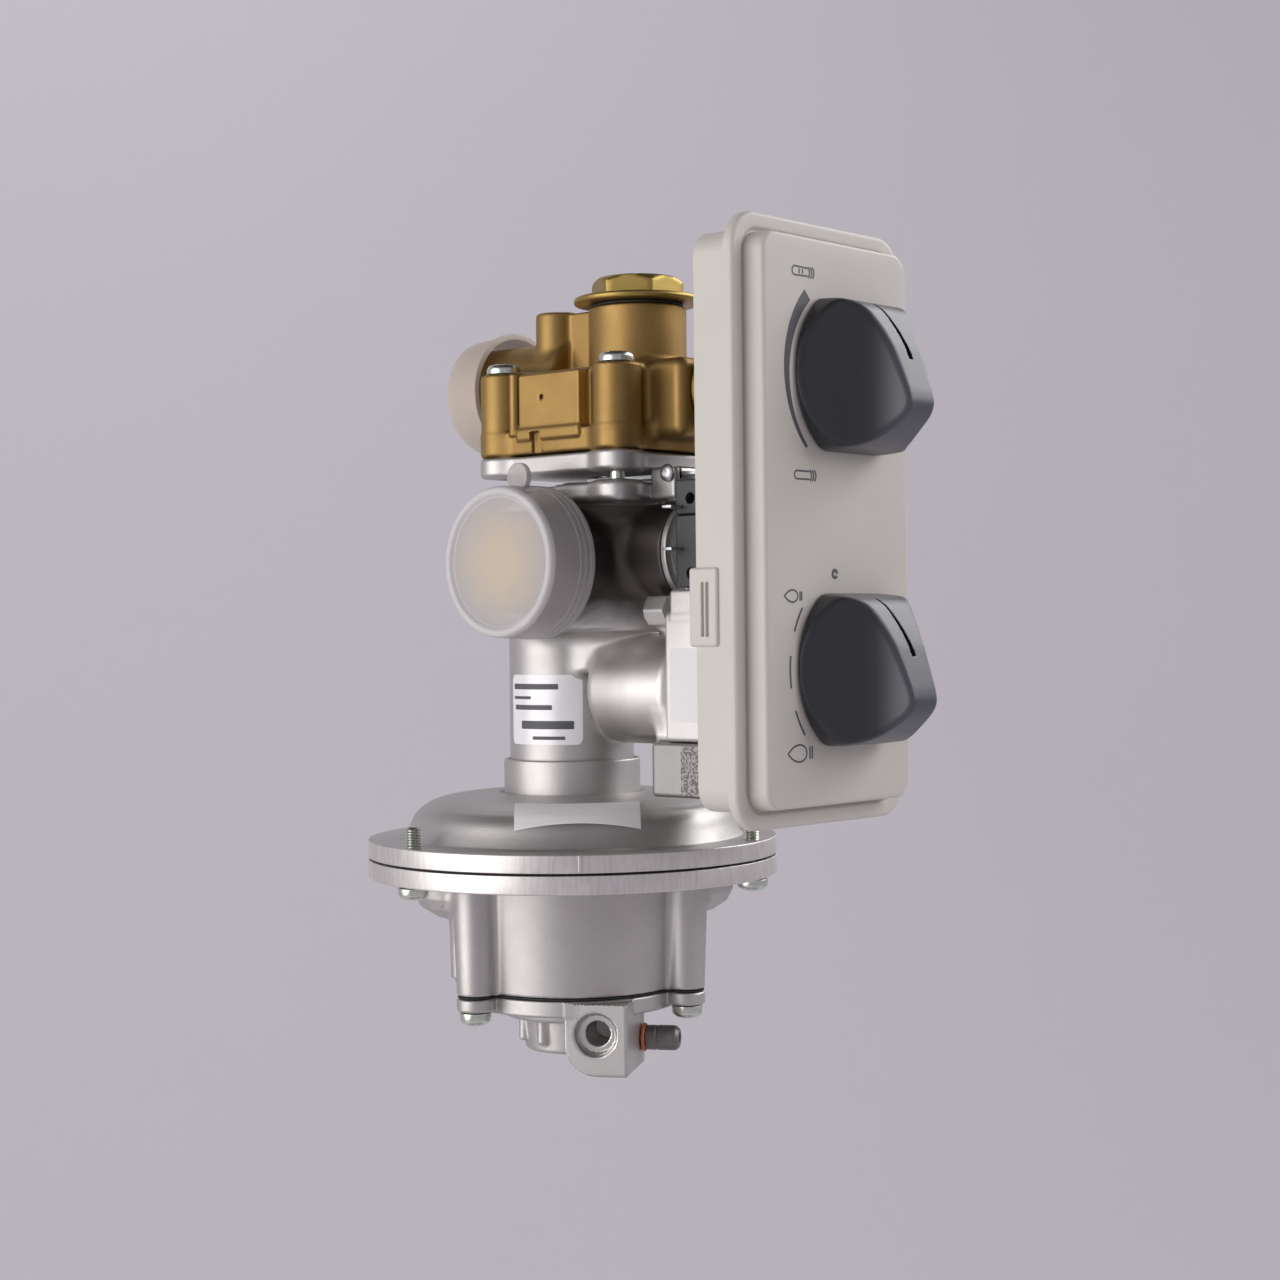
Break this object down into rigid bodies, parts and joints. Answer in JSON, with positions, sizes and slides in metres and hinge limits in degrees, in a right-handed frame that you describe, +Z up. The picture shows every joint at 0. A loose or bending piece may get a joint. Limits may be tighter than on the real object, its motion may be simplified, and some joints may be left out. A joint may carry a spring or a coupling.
{
  "type": "gas valve",
  "caption": "Gas and water valve for an instantaneous water heater: brass water section, cast gas section, diaphragm pressure regulator and a two-knob control panel.",
  "frame": {"origin": "middle of the flat underside of the regulator's spring boss, on the diaphragm axis", "axes": "+Z up along the regulator's diaphragm axis towards the water section, -Y out of the control panel, -X out of the gas outlet"},
  "size_m": [0.112, 0.1714, 0.2175],
  "materials": {
    "cast_aluminium": "blasted die casting, flange rims turned bright",
    "cast_brass": "blasted hot-pressed brass, satin",
    "turned_brass": "turned brass",
    "zinc_screws": "zinc plated, passivated yellow-green",
    "steel": "bright steel",
    "black_rubber": "nitrile rubber",
    "orange_rubber": "silicone sealing washer",
    "ivory_plastic": "fine satin moulding grain",
    "slate_plastic": "satin moulding grain",
    "milky_plastic": "translucent polyethylene",
    "pale_zinc_block": "pale blasted block with a plain white label",
    "dark_plastic": "dark grey moulding"
  },
  "bodies": {
    "root": {"regulator_top_housing": "cast_aluminium", "regulator_lower_housing": "cast_aluminium", "regulator_diaphragm": "black_rubber", "regulator_spring": "steel", "bottom_cover": "cast_aluminium", "cover_gasket": "black_rubber", "vent_plug": "cast_aluminium", "port_plug_seal": "orange_rubber", "port_plug": "steel", "flange_screw_1": "zinc_screws", "flange_screw_2": "zinc_screws", "flange_screw_3": "zinc_screws", "cover_screw_1": "zinc_screws", "cover_screw_2": "zinc_screws", "cover_screw_3": "zinc_screws", "gas_body": "cast_aluminium", "rod_gland": "turned_brass", "gas_valve_spring": "steel", "outlet_nipple": "turned_brass", "tap_head": "pale_zinc_block", "head_nut": "zinc_screws", "magnet_coil": "dark_plastic", "magnet_spring": "steel", "barrel_cover": "cast_aluminium", "switch_body": "dark_plastic", "switch_terminal_1": "steel", "switch_terminal_2": "steel", "lever_pin": "steel", "water_body": "cast_brass", "diaphragm_cover": "cast_aluminium", "water_diaphragm": "black_rubber", "water_screw_1": "zinc_screws", "water_screw_2": "zinc_screws", "water_screw_3": "zinc_screws", "water_screw_4": "zinc_screws", "filter_seal": "black_rubber", "filter_plug": "turned_brass", "water_filter": "steel", "selector_seal": "black_rubber", "selector_gland_nut": "turned_brass", "control_panel": "ivory_plastic", "panel_bracket": "steel", "bracket_screw_1": "zinc_screws", "bracket_screw_2": "zinc_screws"},
    "selector": {"selector_knob": "slate_plastic", "selector_spindle": "turned_brass"},
    "flow_cone": {"flow_cone": "turned_brass"},
    "power": {"power_knob": "slate_plastic", "tap_spindle": "steel", "tap_plug": "turned_brass"},
    "water_rod": {"push_rod": "steel", "diaphragm_plate": "turned_brass", "gas_valve_disc": "black_rubber"},
    "switch_lever": {"switch_lever": "steel"},
    "switch_plunger": {"switch_plunger": "dark_plastic"},
    "regulator": {"regulator_stem": "steel", "regulator_plate": "cast_aluminium"},
    "armature": {"magnet_armature": "steel"},
    "outlet_cap": {"outlet_cap": "milky_plastic"},
    "water_cap": {"water_cap": "milky_plastic"}
  },
  "joints": [
    {"name": "selector_turn", "type": "hinge", "parent": "root", "child": "selector", "pos_m": [0.003, -0.0935, 0.1765], "axis": [0, -1, 0], "range_deg": [0, 140]},
    {"name": "flow_cone_slide", "type": "slide", "parent": "root", "child": "flow_cone", "axis": [0, 1, 0], "range_m": [0, 0.0024]},
    {"name": "power_turn", "type": "hinge", "parent": "root", "child": "power", "pos_m": [0.003, -0.0935, 0.1043], "axis": [0, -1, 0], "range_deg": [0, 135]},
    {"name": "water_rod_slide", "type": "slide", "parent": "root", "child": "water_rod", "axis": [0, 0, -1], "range_m": [0, 0.002], "stiffness_N_per_m": 1200, "springref_m": -0.004, "deforming": ["gas_valve_spring", "water_diaphragm"]},
    {"name": "switch_lever_tilt", "type": "hinge", "parent": "root", "child": "switch_lever", "pos_m": [0, -0.0465, 0.15475], "axis": [-1, 0, 0], "range_deg": [0, 4]},
    {"name": "switch_plunger_slide", "type": "slide", "parent": "root", "child": "switch_plunger", "axis": [0, 0, 1], "range_m": [0, 0.0007]},
    {"name": "regulator_slide", "type": "slide", "parent": "root", "child": "regulator", "axis": [0, 0, 1], "range_m": [-0.0015, 0.0015], "stiffness_N_per_m": 1500, "deforming": ["regulator_spring", "regulator_diaphragm"]},
    {"name": "armature_slide", "type": "slide", "parent": "root", "child": "armature", "axis": [0, -1, 0], "range_m": [0, 0.002], "stiffness_N_per_m": 400, "springref_m": -0.002, "deforming": ["magnet_spring"]},
    {"name": "outlet_cap_pull", "type": "slide", "parent": "root", "child": "outlet_cap", "axis": [-1, 0, 0], "range_m": [0, 0.03]},
    {"name": "water_cap_pull", "type": "slide", "parent": "root", "child": "water_cap", "axis": [0, 1, 0], "range_m": [0, 0.025]}
  ],
  "couplings": [
    {"joint": "flow_cone_slide", "follows": "selector_turn", "m_per_rad": 0.0009549},
    {"joint": "switch_lever_tilt", "follows": "water_rod_slide", "rad_per_m": 31.746},
    {"joint": "switch_plunger_slide", "follows": "water_rod_slide", "ratio": 0.3016}
  ]
}
